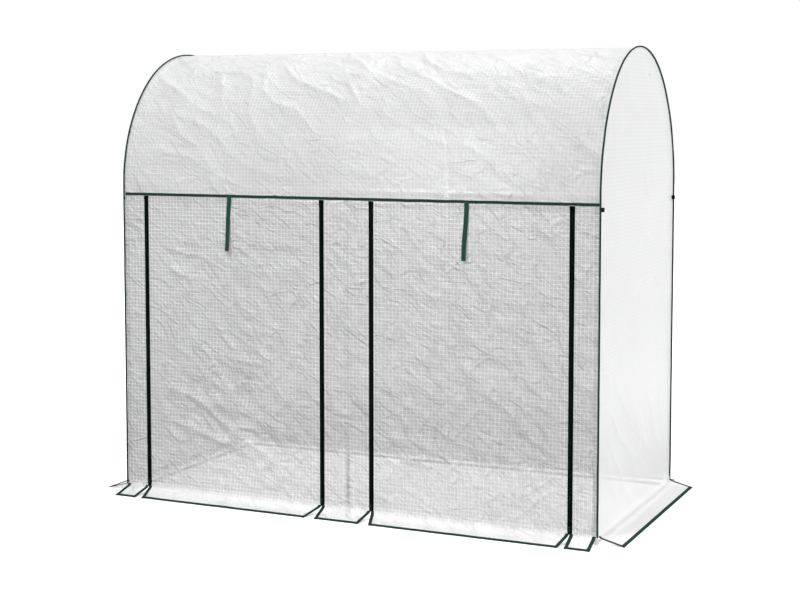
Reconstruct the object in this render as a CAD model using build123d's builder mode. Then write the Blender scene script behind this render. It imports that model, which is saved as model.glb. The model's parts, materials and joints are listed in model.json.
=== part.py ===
"""A tunnel greenhouse: a frame of white tubes under a sewn cover of netted film.

Sizes are in millimetres. The origin is on the ground under the middle of the footprint.
+X runs along the front to the right, +Y from the front to the rear, and +Z is up.
"""

import os
from math import asin, cos, degrees, radians, sin

from build123d import *

# Cover, over the outer faces of the film
width = 2000
depth = 1000
eave_height = 1200
arch_rise = 590
side_turn = 45
film = 1.2
film_gap = 0.3
seam_rise = 18

# Ground flaps at the foot of every wall
skirt_reach = 100
skirt_bend = 25
skirt_slit = 2
hem_width = 12
hem_thickness = 2.4
strip_taper = 8
door_outer_taper = 19
door_inner_taper = 30

# Bindings on the seams
binding_height = 10
binding_thickness = 2
piping_size = 6
piping_overhang = 2
piping_gap = 0.2

# Frame tubes and their connectors
tube_diameter = 16
tube_wall = 0.8
socket_wall = 2.4
socket_gap = 0.15
socket_length = 38
socket_stop = 12
socket_step = 0.2
plug_diameter = 16
plug_seat = 4
plug_reach = 10
plug_gap = 0.3

# Front wall: two doors between three fixed strips
side_strip = 103
middle_strip = 210

# Zips
zip_width = 19.5
zip_slit = 1.6
zip_thickness = 1.6
teeth_width = 3.2
teeth_height = 1.6
top_stop_length = 15
bottom_stop_length = 8
seam_gap = 0.3

# Zip sliders and their pull tabs
running_gap = 0.4
slider_width = 12
slider_length = 22
slider_plate = 2.4
slider_back = 1.5
slider_web = 0.8
lug_thickness = 1.5
lug_reach = 5
pin_diameter = 2
pin_gap = 0.3
tab_width = 5
tab_thickness = 2
tab_length = 24
tab_eye_wall = 1.1

# Straps that hold the rolled doors
strap_width = 18
strap_length = 217
strap_thickness = 1.5
strap_lean = 11
strap_bow = 1
strap_offset = 7
strap_gap = 0.7

# Places that follow from the sizes above
half_width = width / 2
half_depth = depth / 2
socket_bore = tube_diameter / 2 + socket_gap
socket_radius = socket_bore + socket_wall
socket_reach = socket_stop + socket_length
tube_inset = film + film_gap + socket_radius
hoop_places = (-(half_width - tube_inset), 0, half_width - tube_inset)
hoop_names = ("left", "centre", "right")
leg_y = half_depth - tube_inset
base_height = socket_radius
spring_height = eave_height + socket_reach
roof_height = eave_height + arch_rise
seam_height = eave_height + seam_rise
seam_foot = seam_height - binding_height / 2
bend_height = skirt_bend + film
zip_foot = bend_height + seam_gap
zip_top = seam_foot - seam_gap
zip_half = zip_width / 2
slit_half = zip_slit / 2
inner_zip = middle_strip / 2
outer_zip = half_width - side_strip
zip_places = (-outer_zip, -inner_zip, inner_zip, outer_zip)

# Radii of the hoop's side bends and of its crown, for the film's outer face
arch_height = roof_height - spring_height
bend_cos = cos(radians(side_turn))
bend_sin = sin(radians(side_turn))
bend_mix = (1 - bend_cos) * (1 - bend_sin) - bend_cos * bend_sin
side_radius = (half_depth * (1 - bend_sin) - arch_height * bend_cos) / bend_mix
crown_radius = (arch_height * (1 - bend_cos) - half_depth * bend_sin) / bend_mix
crown_turn = 90 - side_turn
crown_line_radius = crown_radius - tube_inset
crown_centre = (0, roof_height - crown_radius)
stop_angle = degrees(asin(socket_stop / crown_line_radius))
reach_angle = degrees(asin(socket_reach / crown_line_radius))

UP = (0, 0, 1)
DOWN = (0, 0, -1)
LEFT = (-1, 0, 0)
RIGHT = (1, 0, 0)
FRONT = (0, -1, 0)
REAR = (0, 1, 0)

os.makedirs("parts", exist_ok=True)


def save(piece, name):
    """Name a finished piece and write it."""
    piece.part.label = name
    export_step(piece.part, f"parts/{name}.step")


def slab(low, high):
    """Add a block between two corners to the open part."""
    size = [top - bottom for bottom, top in zip(low, high)]
    centre = [(top + bottom) / 2 for bottom, top in zip(low, high)]
    with Locations(tuple(centre)):
        Box(*size)


def rod(start, direction, radius, near, far, mode=Mode.ADD):
    """Add or cut a round bar that runs from near to far along a direction."""
    with BuildSketch(Plane(origin=start, z_dir=direction).offset(near)) as section:
        Circle(radius)
    extrude(section.sketch, amount=far - near, mode=mode)


def tube_section(plane):
    """Draw the ring that every frame tube is made of."""
    with BuildSketch(plane) as section:
        Circle(tube_diameter / 2)
        Circle(tube_diameter / 2 - tube_wall, mode=Mode.SUBTRACT)
    return section.sketch


# Frame tubes


def straight_tubes(name, runs):
    """Make straight tubes, each from its start along a direction for a length."""
    with BuildPart() as tubes:
        for start, direction, length in runs:
            extrude(tube_section(Plane(origin=start, z_dir=direction)), amount=length)
    save(tubes, name)


def arch_tube(name, hoop_x, side):
    """Make half a hoop's arch, from the eave to the ridge. Side is -1 for front, 1 for rear."""
    with BuildLine(Plane.YZ.offset(hoop_x)) as route:
        riser = Line((side * leg_y, eave_height + socket_stop), (side * leg_y, spring_height))
        bend = JernArc(riser @ 1, riser % 1, side_radius - tube_inset, side * side_turn)
        JernArc(bend @ 1, bend % 1, crown_line_radius, side * (crown_turn - stop_angle))
    with BuildPart() as tube:
        ring = tube_section(Plane(origin=route.line @ 0, z_dir=route.line % 0))
        sweep(sections=ring, path=route.line)
    save(tube, name)


leg_foot = base_height + socket_stop
leg_length = eave_height - socket_stop - leg_foot
for hoop_name, hoop_x in zip(hoop_names, hoop_places):
    straight_tubes(f"front_leg_{hoop_name}", [((hoop_x, -leg_y, leg_foot), UP, leg_length)])
    straight_tubes(f"rear_leg_{hoop_name}", [((hoop_x, leg_y, leg_foot), UP, leg_length)])
    arch_tube(f"front_arch_{hoop_name}", hoop_x, -1)
    arch_tube(f"rear_arch_{hoop_name}", hoop_x, 1)


def rail_pair(name, y, z):
    """Make the left and the right rail that join the three hoops at one level."""
    length = half_width - tube_inset - 2 * socket_stop
    starts = [hoop_x + socket_stop for hoop_x in hoop_places[:2]]
    straight_tubes(name, [((start, y, z), RIGHT, length) for start in starts])


rail_pair("ridge_rails", 0, roof_height - tube_inset)
rail_pair("front_eave_rails", -leg_y, eave_height)
rail_pair("rear_eave_rails", leg_y, eave_height)
rail_pair("rear_base_rails", leg_y, base_height)

end_rail_length = 2 * (leg_y - socket_stop)
end_rail_starts = [(hoop_x, socket_stop - leg_y, base_height) for hoop_x in hoop_places[::2]]
straight_tubes("end_base_rails", [(start, REAR, end_rail_length) for start in end_rail_starts])


# Connectors


def connector(hub, directions):
    """Add one tube socket in each direction to the open part. Sockets that cross step down in size."""
    steps = {UP: 0, DOWN: 0, LEFT: 1, RIGHT: 1, FRONT: 2, REAR: 2}
    for direction in directions:
        rod(hub, direction, socket_radius - socket_step * steps[direction], 0, socket_reach)
    for direction in directions:
        rod(hub, direction, socket_bore, socket_stop, socket_reach, Mode.SUBTRACT)


def foot_connector(place, directions):
    """Add a base connector that stands flat on the ground to the open part."""
    hub = (*place, base_height)
    connector(hub, directions)
    rod(hub, DOWN, socket_radius, 0, base_height)


def crown_rod(hoop_x, radius, start_angle, turn, mode=Mode.ADD):
    """Add or cut a round bar along the crown of a hoop."""
    with BuildLine(Plane.YZ.offset(hoop_x)) as route:
        CenterArc(crown_centre, crown_line_radius, start_angle, turn)
    with BuildSketch(Plane(origin=route.line @ 0, z_dir=route.line % 0)) as section:
        Circle(radius)
    sweep(sections=section.sketch, path=route.line, mode=mode)


def rail_sides(hoop_x):
    """Give the directions in which rails leave a hoop."""
    sides = []
    if hoop_x > hoop_places[0]:
        sides.append(LEFT)
    if hoop_x < hoop_places[-1]:
        sides.append(RIGHT)
    return sides


with BuildPart() as ridge_connectors:
    for hoop_x in hoop_places:
        crown_rod(hoop_x, socket_radius, 90 - reach_angle, 2 * reach_angle)
        connector((hoop_x, 0, roof_height - tube_inset), rail_sides(hoop_x))
        crown_rod(hoop_x, socket_bore, 90 - reach_angle, reach_angle - stop_angle, Mode.SUBTRACT)
        crown_rod(hoop_x, socket_bore, 90 + stop_angle, reach_angle - stop_angle, Mode.SUBTRACT)
save(ridge_connectors, "ridge_connectors")

# Eave corners: each connector has a seat for a plug that stands out through the end panel
eave_hubs = [
    ((hoop_x, y, eave_height), outward)
    for hoop_x, outward in ((hoop_places[0], LEFT), (hoop_places[-1], RIGHT))
    for y in (-leg_y, leg_y)
]

with BuildPart() as eave_corners:
    for hub, outward in eave_hubs:
        connector(hub, [UP, DOWN, *rail_sides(hub[0])])
        rod(hub, outward, plug_diameter / 2 + socket_gap, plug_seat, tube_inset, Mode.SUBTRACT)
save(eave_corners, "eave_corner_connectors")

with BuildPart() as end_plugs:
    for hub, outward in eave_hubs:
        rod(hub, outward, plug_diameter / 2, plug_seat, tube_inset + plug_reach)
save(end_plugs, "eave_end_plugs")

with BuildPart() as eave_centres:
    for y in (-leg_y, leg_y):
        connector((hoop_places[1], y, eave_height), [UP, DOWN, LEFT, RIGHT])
save(eave_centres, "eave_centre_connectors")

with BuildPart() as front_base_corners:
    for hoop_x in hoop_places[::2]:
        foot_connector((hoop_x, -leg_y), [UP, REAR])
save(front_base_corners, "front_base_corner_connectors")

with BuildPart() as rear_base_corners:
    for hoop_x in hoop_places[::2]:
        foot_connector((hoop_x, leg_y), [UP, FRONT, *rail_sides(hoop_x)])
save(rear_base_corners, "rear_base_corner_connectors")

with BuildPart() as rear_base_centre:
    foot_connector((hoop_places[1], leg_y), [UP, LEFT, RIGHT])
save(rear_base_centre, "rear_base_centre_connector")

with BuildPart() as front_centre_foot:
    foot_connector((hoop_places[1], -leg_y), [UP])
save(front_centre_foot, "front_centre_foot")


# Roof sheet, piping and end panels


def arch_face(inset, foot, mode=Mode.ADD):
    """Draw the area under the arch, set in from the film's outer face, down to a foot level."""
    wall_y = half_depth - inset
    with BuildLine() as outline:
        front = Line((-wall_y, foot), (-wall_y, spring_height))
        front_bend = JernArc(front @ 1, front % 1, side_radius - inset, -side_turn)
        crown = JernArc(front_bend @ 1, front_bend % 1, crown_radius - inset, -2 * crown_turn)
        rear_bend = JernArc(crown @ 1, crown % 1, side_radius - inset, -side_turn)
        Polyline(rear_bend @ 1, (wall_y, foot), (-wall_y, foot))
    make_face(outline.edges(), mode=mode)


with BuildPart() as roof_sheet:
    with BuildSketch(Plane.YZ.offset(film - half_width)):
        arch_face(0, seam_foot)
        arch_face(film, seam_foot, Mode.SUBTRACT)
    extrude(amount=width - 2 * film)
save(roof_sheet, "roof_sheet")

for end_name, piping_start in (
    ("left", -half_width - piping_overhang),
    ("right", half_width + piping_overhang - piping_size),
):
    with BuildPart() as piping:
        with BuildSketch(Plane.YZ.offset(piping_start)):
            arch_face(-piping_gap - piping_size, zip_foot)
            arch_face(-piping_gap, zip_foot, Mode.SUBTRACT)
        extrude(amount=piping_size)
    save(piping, f"{end_name}_end_piping")


# Walls with their ground flaps


def flap_body(wall_plane, ends, thickness):
    """Add a bent flap, long enough for both ends. The plane's x points out of the wall, its y up."""
    longest = max(abs(end) for end in ends)
    with BuildSketch(wall_plane) as section:
        with BuildLine():
            under = CenterArc((skirt_bend, bend_height), bend_height, 180, 90)
            Polyline(under @ 1, (skirt_reach, 0), (skirt_reach, thickness), (skirt_bend, thickness))
            over = CenterArc((skirt_bend, bend_height), bend_height - thickness, 270, -90)
            Line(over @ 1, under @ 0)
        make_face()
    extrude(section.sketch, amount=longest, both=True)


def flap_outline(wall_plane, ends, tapers, inset, mode):
    """Keep, or cut away, what lies over a flap's cut as it is seen from above."""
    (low, high), (low_taper, high_taper) = ends, tapers
    reach = skirt_reach - inset
    corners = [
        (-bend_height, low + inset),
        (-bend_height, high - inset),
        (0, high - inset),
        (reach, high - high_taper - inset),
        (reach, low + low_taper + inset),
        (0, low + inset),
    ]
    ground = Plane(origin=wall_plane.origin, x_dir=wall_plane.x_dir, z_dir=UP)
    with BuildSketch(ground) as cut:
        with BuildLine():
            Polyline(*corners, close=True)
        make_face()
    extrude(cut.sketch, amount=bend_height, mode=mode)


def film_flap(wall_plane, ends, tapers):
    """Add the film of a ground flap, which ends where its hem starts, to the open part."""
    flap_body(wall_plane, ends, film)
    flap_outline(wall_plane, ends, tapers, hem_width, Mode.INTERSECT)


def hem_flap(wall_plane, ends, tapers):
    """Make the hem tape on the three free edges of a ground flap."""
    with BuildPart() as tape:
        flap_body(wall_plane, ends, hem_thickness)
        flap_outline(wall_plane, ends, tapers, 0, Mode.INTERSECT)
        flap_outline(wall_plane, ends, tapers, hem_width, Mode.SUBTRACT)
    return tape


front_plane = Plane(origin=(0, -half_depth, 0), x_dir=FRONT, z_dir=LEFT)
rear_plane = Plane(origin=(0, half_depth, 0), x_dir=REAR, z_dir=RIGHT)
left_plane = Plane(origin=(-half_width, 0, 0), x_dir=LEFT, z_dir=REAR)
right_plane = Plane(origin=(half_width, 0, 0), x_dir=RIGHT, z_dir=FRONT)
no_taper = (0, 0)
end_reach = half_depth - film - skirt_slit
wall_reach = half_width - film - skirt_slit
end_flap = (-end_reach, end_reach)
rear_flap = (-wall_reach, wall_reach)

for end_name, plane, panel_start in (
    ("left", left_plane, -half_width),
    ("right", right_plane, half_width - film),
):
    with BuildPart() as end_panel:
        film_flap(plane, end_flap, no_taper)
        with BuildSketch(Plane.YZ.offset(panel_start)):
            arch_face(0, bend_height)
            with Locations((-leg_y, eave_height), (leg_y, eave_height)):
                Circle(plug_diameter / 2 + plug_gap, mode=Mode.SUBTRACT)
        extrude(amount=film)
    save(end_panel, f"{end_name}_end_panel")
    save(hem_flap(plane, end_flap, no_taper), f"{end_name}_end_hem")

with BuildPart() as rear_wall:
    film_flap(rear_plane, rear_flap, no_taper)
    slab(
        (film - half_width, half_depth - film, bend_height),
        (half_width - film, half_depth, seam_foot),
    )
save(rear_wall, "rear_wall")
save(hem_flap(rear_plane, rear_flap, no_taper), "rear_hem")

# Front strips: the ends of each wall, the ends of its flap and the flap's tapers, from left to right
inner_edge = inner_zip - zip_half
outer_edge = outer_zip + zip_half
outer_slit = outer_zip + skirt_slit / 2
inner_slit = inner_zip - skirt_slit / 2
front_strips = (
    ("left", (film - half_width, -outer_edge), (-wall_reach, -outer_slit), (0, strip_taper)),
    ("middle", (-inner_edge, inner_edge), (-inner_slit, inner_slit), (strip_taper, strip_taper)),
    ("right", (outer_edge, half_width - film), (outer_slit, wall_reach), (strip_taper, 0)),
)

strip_tapes = []
for strip_name, wall_ends, flap_ends, tapers in front_strips:
    with BuildPart() as strip:
        film_flap(front_plane, flap_ends, tapers)
        slab(
            (wall_ends[0], -half_depth, bend_height),
            (wall_ends[1], film - half_depth, seam_foot),
        )
    save(strip, f"{strip_name}_strip")
    strip_tapes.append(hem_flap(front_plane, flap_ends, tapers).part)

with BuildPart() as strip_hems:
    add(strip_tapes)
save(strip_hems, "strip_hems")

with BuildPart() as eave_binding:
    reach = half_width + piping_overhang - piping_size - piping_gap
    slab(
        (-reach, -half_depth - binding_thickness, seam_foot),
        (reach, -half_depth, seam_foot + binding_height),
    )
save(eave_binding, "front_eave_binding")


# Doors: the film, its ground flap and the hem of the flap

doors = (
    ("left", -outer_zip, -inner_zip, (door_outer_taper, door_inner_taper)),
    ("right", inner_zip, outer_zip, (door_inner_taper, door_outer_taper)),
)
for door_name, low_zip, high_zip, tapers in doors:
    with BuildPart() as door:
        slab(
            (low_zip + zip_half, -half_depth, bend_height),
            (high_zip - zip_half, film - half_depth, zip_top),
        )
    save(door, f"{door_name}_door")
    door_flap_ends = (low_zip + skirt_slit / 2, high_zip - skirt_slit / 2)
    with BuildPart() as door_flap:
        film_flap(front_plane, door_flap_ends, tapers)
    save(door_flap, f"{door_name}_door_flap")
    save(hem_flap(front_plane, door_flap_ends, tapers), f"{door_name}_door_hem")


# Zips: a tape with a row of teeth beside the slit, and a stop block at its top


def zip_tape(zip_x, side):
    """Add one half of a zip to the open part. Side is -1 left of the slit, 1 right of it."""
    back = film - half_depth
    face = back - zip_thickness
    teeth_face = face - teeth_height

    def block(near, far, front, low, high):
        """Add a block between two distances from the zip's centre line."""
        ends = sorted((zip_x + side * near, zip_x + side * far))
        slab((ends[0], front, low), (ends[1], back, high))

    block(slit_half, zip_half, face, zip_foot, zip_top)
    block(slit_half, slit_half + teeth_width, teeth_face, zip_foot, zip_top)
    block(slit_half, zip_half, teeth_face, zip_top - top_stop_length, zip_top)


for door_name, low_zip, high_zip, tapers in doors:
    with BuildPart() as strip_side:
        zip_tape(low_zip, -1)
        zip_tape(high_zip, 1)
    save(strip_side, f"{door_name}_door_strip_zips")
    with BuildPart() as door_side:
        zip_tape(low_zip, 1)
        zip_tape(high_zip, -1)
    save(door_side, f"{door_name}_door_zips")


# Zip sliders and pull tabs

zip_face = film - half_depth - zip_thickness - teeth_height
plate_back = zip_face - running_gap
plate_face = plate_back - slider_plate
slider_rear = film - half_depth + running_gap
slider_foot = zip_foot + bottom_stop_length
eye_radius = pin_diameter / 2 + pin_gap + tab_eye_wall
pin_y = plate_face - eye_radius - pin_gap
pin_z = slider_foot + slider_length - eye_radius
lug_gap = tab_width / 2 + pin_gap
zip_names = ("left_outer", "left_inner", "right_inner", "right_outer")

for zip_name, zip_x in zip(zip_names, zip_places):
    with BuildPart() as slider:
        slab(
            (zip_x - slider_width / 2, plate_face, slider_foot),
            (zip_x + slider_width / 2, plate_back, slider_foot + slider_length),
        )
        slab(
            (zip_x - slider_width / 2, slider_rear, slider_foot),
            (zip_x + slider_width / 2, slider_rear + slider_back, slider_foot + slider_length),
        )
        slab(
            (zip_x - slider_web / 2, plate_back, slider_foot),
            (zip_x + slider_web / 2, slider_rear, slider_foot + slider_length),
        )
        for side in (-1, 1):
            lug_ends = sorted((zip_x + side * lug_gap, zip_x + side * (lug_gap + lug_thickness)))
            slab(
                (lug_ends[0], plate_face - lug_reach, pin_z - eye_radius),
                (lug_ends[1], plate_face, pin_z + eye_radius),
            )
        rod((zip_x, pin_y, pin_z), RIGHT, pin_diameter / 2, -lug_gap, lug_gap)
    save(slider, f"{zip_name}_slider")

    with BuildPart() as tab:
        rod((zip_x - tab_width / 2, pin_y, pin_z), RIGHT, eye_radius, 0, tab_width)
        slab(
            (zip_x - tab_width / 2, pin_y - tab_thickness / 2, pin_z - tab_length),
            (zip_x + tab_width / 2, pin_y + tab_thickness / 2, pin_z),
        )
        bore = pin_diameter / 2 + pin_gap
        rod((zip_x - tab_width / 2, pin_y, pin_z), RIGHT, bore, 0, tab_width, Mode.SUBTRACT)
    save(tab, f"{zip_name}_pull_tab")


# Straps: webbing that hangs from the front binding and leans a little to the left

strap_top = seam_height
strap_y = -half_depth - binding_thickness - strap_gap
bow_x = strap_lean / 2 + strap_bow
strap_middle = strap_top - strap_length / 2
for door_name, low_zip, high_zip, tapers in doors:
    top_x = (low_zip + high_zip) / 2 - strap_offset
    with BuildPart() as strap:
        with BuildSketch(Plane.XZ.offset(-strap_y)):
            with BuildLine():
                left_top = (top_x - strap_width / 2, strap_top)
                right_top = (top_x + strap_width / 2, strap_top)
                left_end = (left_top[0] - strap_lean, strap_top - strap_length)
                right_end = (right_top[0] - strap_lean, strap_top - strap_length)
                ThreePointArc(left_top, (left_top[0] - bow_x, strap_middle), left_end)
                Line(left_end, right_end)
                ThreePointArc(right_end, (right_top[0] - bow_x, strap_middle), right_top)
                Line(right_top, left_top)
            make_face()
        extrude(amount=strap_thickness)
    save(strap, f"{door_name}_strap")
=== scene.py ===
"""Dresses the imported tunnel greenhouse: netted film, green tape, zips, straps and a white tube frame.

Lengths are in metres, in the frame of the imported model: the origin is on the ground under the middle
of the footprint, +X runs along the front to the right, +Y to the rear and +Z up.
"""

import json
import logging
import math
from collections.abc import Callable
from dataclasses import dataclass, replace
from enum import Enum
from functools import partial

import bmesh
import bpy
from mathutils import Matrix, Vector, noise

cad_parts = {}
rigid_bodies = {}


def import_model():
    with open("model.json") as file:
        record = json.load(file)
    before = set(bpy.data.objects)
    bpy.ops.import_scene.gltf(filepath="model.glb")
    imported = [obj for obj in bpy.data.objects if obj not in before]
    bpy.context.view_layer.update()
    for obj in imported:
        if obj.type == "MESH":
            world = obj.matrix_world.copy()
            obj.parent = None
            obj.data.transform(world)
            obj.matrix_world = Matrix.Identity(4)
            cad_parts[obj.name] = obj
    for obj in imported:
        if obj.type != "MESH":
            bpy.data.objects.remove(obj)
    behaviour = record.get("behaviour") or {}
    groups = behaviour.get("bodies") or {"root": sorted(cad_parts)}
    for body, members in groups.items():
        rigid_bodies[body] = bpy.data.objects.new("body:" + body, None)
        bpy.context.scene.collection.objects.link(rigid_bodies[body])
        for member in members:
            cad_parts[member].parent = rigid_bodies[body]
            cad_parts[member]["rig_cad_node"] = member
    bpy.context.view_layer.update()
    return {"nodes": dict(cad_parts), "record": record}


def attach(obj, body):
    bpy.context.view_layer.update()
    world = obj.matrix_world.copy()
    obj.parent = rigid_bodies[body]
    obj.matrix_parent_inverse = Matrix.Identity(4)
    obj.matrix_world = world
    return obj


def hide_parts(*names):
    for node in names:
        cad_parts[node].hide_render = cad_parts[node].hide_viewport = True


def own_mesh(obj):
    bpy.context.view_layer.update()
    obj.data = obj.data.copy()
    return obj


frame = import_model()
LOG = logging.getLogger("greenhouse")
ROOT = "frame_and_cover"
EAVE = "front_eave_binding"
MERGE_DISTANCE = 1e-5
FEWEST_CELLS = 8

Colour = tuple[float, float, float]
Socket = bpy.types.NodeSocket
Spot = tuple[Vector, tuple[float, float]]
Placer = Callable[[float, float], Spot]
Route = Callable[[float, float, float], Vector]


class Side(Enum):
    """The wall that a piece of the cover belongs to."""

    FRONT = "front"
    REAR = "rear"
    LEFT = "left"
    RIGHT = "right"

    @property
    def sign(self) -> int:
        """Give -1 for the front and the left, and 1 for the rear and the right."""
        return -1 if self in (Side.FRONT, Side.LEFT) else 1


@dataclass(frozen=True)
class Tunnel:
    """The main sizes of the cover, as the solids have them."""

    half_width: float = 1.0
    half_depth: float = 0.5
    seam: float = 1.213
    spring: float = 1.25
    ridge: float = 1.79
    side_turn: float = math.radians(45)
    film: float = 0.0012
    flap_reach: float = 0.1
    flap_rise: float = 0.025
    flap_round: float = 0.02
    flap_start: float = 0.004
    flap_slit: float = 0.001
    corner_slit: float = 0.0032
    zip_foot: float = 0.0265
    zip_top: float = 1.2127
    zip_half: float = 0.00975
    outer_zip: float = 0.897
    inner_zip: float = 0.105

    @property
    def side_radius(self) -> float:
        """Give the radius of the arch's side bends."""
        rise, turn = self.ridge - self.spring, self.side_turn
        return (self.half_depth * (1 - math.sin(turn)) - rise * math.cos(turn)) / self.divisor

    @property
    def crown_radius(self) -> float:
        """Give the radius of the arch's crown."""
        rise, turn = self.ridge - self.spring, self.side_turn
        return (rise * (1 - math.cos(turn)) - self.half_depth * math.sin(turn)) / self.divisor

    @property
    def divisor(self) -> float:
        """Give the divisor that both radii share."""
        cos, sin = math.cos(self.side_turn), math.sin(self.side_turn)
        return (1 - cos) * (1 - sin) - cos * sin

    @property
    def arch_length(self) -> float:
        """Give the length over the arch, from the front seam to the rear seam."""
        side = self.side_radius * self.side_turn
        crown = self.crown_radius * (math.pi / 2 - self.side_turn)
        return 2 * (self.spring - self.seam + side + crown)

    @property
    def flap_length(self) -> float:
        """Give the length over a ground flap, from its tip to the wall's foot."""
        return math.hypot(self.flap_reach, self.flap_rise)

    def along_at(self, height: float) -> float:
        """Give the distance over a wall's sheet, from its flap's tip, at a height."""
        return self.flap_length + height - self.film - self.flap_rise

    def arch(self, along: float, lift: float) -> tuple[float, float]:
        """Find a place on the arch.

        Args:
            along: Distance over the film from the front seam. It may start below the seam.
            lift: Distance out of the film.

        Returns:
            The place's y and z.
        """
        sign = -1 if along <= self.arch_length / 2 else 1
        rest = along if sign < 0 else self.arch_length - along
        riser = self.spring - self.seam
        bend = self.side_radius * self.side_turn
        if rest <= riser:
            return sign * (self.half_depth + lift), self.seam + rest
        if rest <= riser + bend:
            turn = (rest - riser) / self.side_radius
            radius = self.side_radius + lift
            y = self.half_depth - self.side_radius + radius * math.cos(turn)
            return sign * y, self.spring + radius * math.sin(turn)
        turn = self.side_turn + (rest - riser - bend) / self.crown_radius
        radius = self.crown_radius + lift
        height = self.ridge - self.crown_radius + radius * math.sin(turn)
        return sign * radius * math.cos(turn), height

    def half_span(self, height: float) -> float:
        """Give half the arch's width at a height.

        Args:
            height: Height over the ground.

        Returns:
            The distance from the middle plane to the film.
        """
        if height <= self.spring:
            return self.half_depth
        bend_top = self.spring + self.side_radius * math.sin(self.side_turn)
        if height <= bend_top:
            drop = height - self.spring
            return self.half_depth - self.side_radius + math.sqrt(self.side_radius**2 - drop**2)
        drop = min(height - self.ridge + self.crown_radius, self.crown_radius)
        return math.sqrt(self.crown_radius**2 - drop**2)

    def wall(self, side: Side, across: float, along: float, lift: float) -> Vector:
        """Find a place on a wall or on its ground flap.

        Args:
            side: The wall.
            across: The place along the wall, which is x on the front and rear and y on the ends.
            along: Distance over the sheet from the flap's tip, up the wall.
            lift: Distance out of the sheet.

        Returns:
            The place.
        """
        slope = Vector((-self.flap_reach, self.flap_rise)) / self.flap_length
        upright = Vector((0.0, 1.0))
        share = min(max((along - self.flap_length) / (2 * self.flap_round) + 0.5, 0.0), 1.0)
        below = max(self.flap_length - self.flap_round - along, 0.0)
        above = max(along - self.flap_length - self.flap_round, 0.0)
        corner = Vector((0.0, self.film + self.flap_rise))
        point = corner - slope * (self.flap_round * (1 - share) ** 2 + below)
        point += upright * (self.flap_round * share**2 + above)
        heading = (slope * (1 - share) + upright * share).normalized()
        out, height = point + lift * Vector((heading.y, -heading.x))
        if side in (Side.FRONT, Side.REAR):
            return Vector((across, side.sign * (self.half_depth + out), height))
        return Vector((side.sign * (self.half_width + out), across, height))


TUNNEL = Tunnel()


def smooth(value: float) -> float:
    """Ease a share from 0 to 1, held at both ends."""
    share = min(max(value, 0.0), 1.0)
    return share * share * (3 - 2 * share)


def ripple(place: float, often: float, *seed: float) -> float:
    """Give a small wave along a tape, from about -1 to 1."""
    return noise.noise(Vector((place * often, *seed)))


# Meshes


def finish_mesh(name: str, bm: bmesh.types.BMesh) -> bpy.types.Object:
    """Turn a bmesh into a smooth-shaded object in the scene.

    Args:
        name: The object's name.
        bm: The bmesh, which is freed.

    Returns:
        The object, at the origin.
    """
    for face in bm.faces:
        face.smooth = True
    mesh = bpy.data.meshes.new(name)
    bm.to_mesh(mesh)
    bm.free()
    piece = bpy.data.objects.new(name, mesh)
    bpy.context.scene.collection.objects.link(piece)
    return piece


def join(bm: bmesh.types.BMesh, part: bmesh.types.BMesh) -> None:
    """Add a bmesh to another one.

    Args:
        bm: The bmesh that grows.
        part: The bmesh that is added, and freed.
    """
    mesh = bpy.data.meshes.new("part")
    part.to_mesh(mesh)
    part.free()
    bm.from_mesh(mesh)
    bpy.data.meshes.remove(mesh)


def lay_grid(bm: bmesh.types.BMesh, columns: int, rows: int, place: Placer) -> None:
    """Add a grid to an empty bmesh, lay it over a surface and close its seams.

    Args:
        bm: The bmesh.
        columns: Faces across.
        rows: Faces along.
        place: Gives the place and the UV of the shares across and along.
    """
    layer = bm.loops.layers.uv.new("UVMap")
    made = bmesh.ops.create_grid(bm, x_segments=columns, y_segments=rows, size=0.5)["verts"]
    flat = {}
    for vert in made:
        vert.co, flat[vert] = place(vert.co.x + 0.5, vert.co.y + 0.5)
    for face in bm.faces:
        for loop in face.loops:
            loop[layer].uv = flat[loop.vert]
    bmesh.ops.remove_doubles(bm, verts=bm.verts, dist=MERGE_DISTANCE)


def sheet_object(name: str, columns: int, rows: int, place: Placer) -> bpy.types.Object:
    """Make one sheet from a grid.

    Args:
        name: The object's name.
        columns: Faces across.
        rows: Faces along.
        place: Gives the place and the UV of the shares across and along.

    Returns:
        The sheet.
    """
    bm = bmesh.new()
    lay_grid(bm, columns, rows, place)
    bmesh.ops.recalc_face_normals(bm, faces=bm.faces)
    return finish_mesh(name, bm)


@dataclass(frozen=True)
class Section:
    """The rounded section of a tape. A low squareness gives a square one, and 1 an ellipse."""

    width: float
    thickness: float
    squareness: float = 0.4
    steps: int = 16

    def at(self, share: float) -> tuple[float, float]:
        """Give a place on the section, from a share of the way round it.

        Args:
            share: The share of a full turn.

        Returns:
            The offset over the width and the offset over the thickness.
        """
        turn = 2 * math.pi * share
        cos, sin = math.cos(turn), math.sin(turn)
        across = math.copysign(abs(cos) ** self.squareness, cos) * self.width / 2
        out = math.copysign(abs(sin) ** self.squareness, sin) * self.thickness / 2
        return across, out


def add_band(bm: bmesh.types.BMesh, section: Section, rows: int, length: float, route: Route) -> None:
    """Add a tape with closed ends to a bmesh.

    Args:
        bm: The bmesh.
        section: The tape's section.
        rows: Faces along the tape.
        length: The tape's length, for its pattern.
        route: Gives the place of a share along, an offset over the width and one over the thickness.
    """

    def place(turn: float, share: float) -> Spot:
        """Put one point of the section at one share of the length."""
        across, out = section.at(turn)
        return route(share, across, out), (across, share * length)

    part = bmesh.new()
    lay_grid(part, section.steps, rows, place)
    bmesh.ops.holes_fill(part, edges=[edge for edge in part.edges if edge.is_boundary], sides=0)
    bmesh.ops.recalc_face_normals(part, faces=part.faces)
    join(bm, part)


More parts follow.
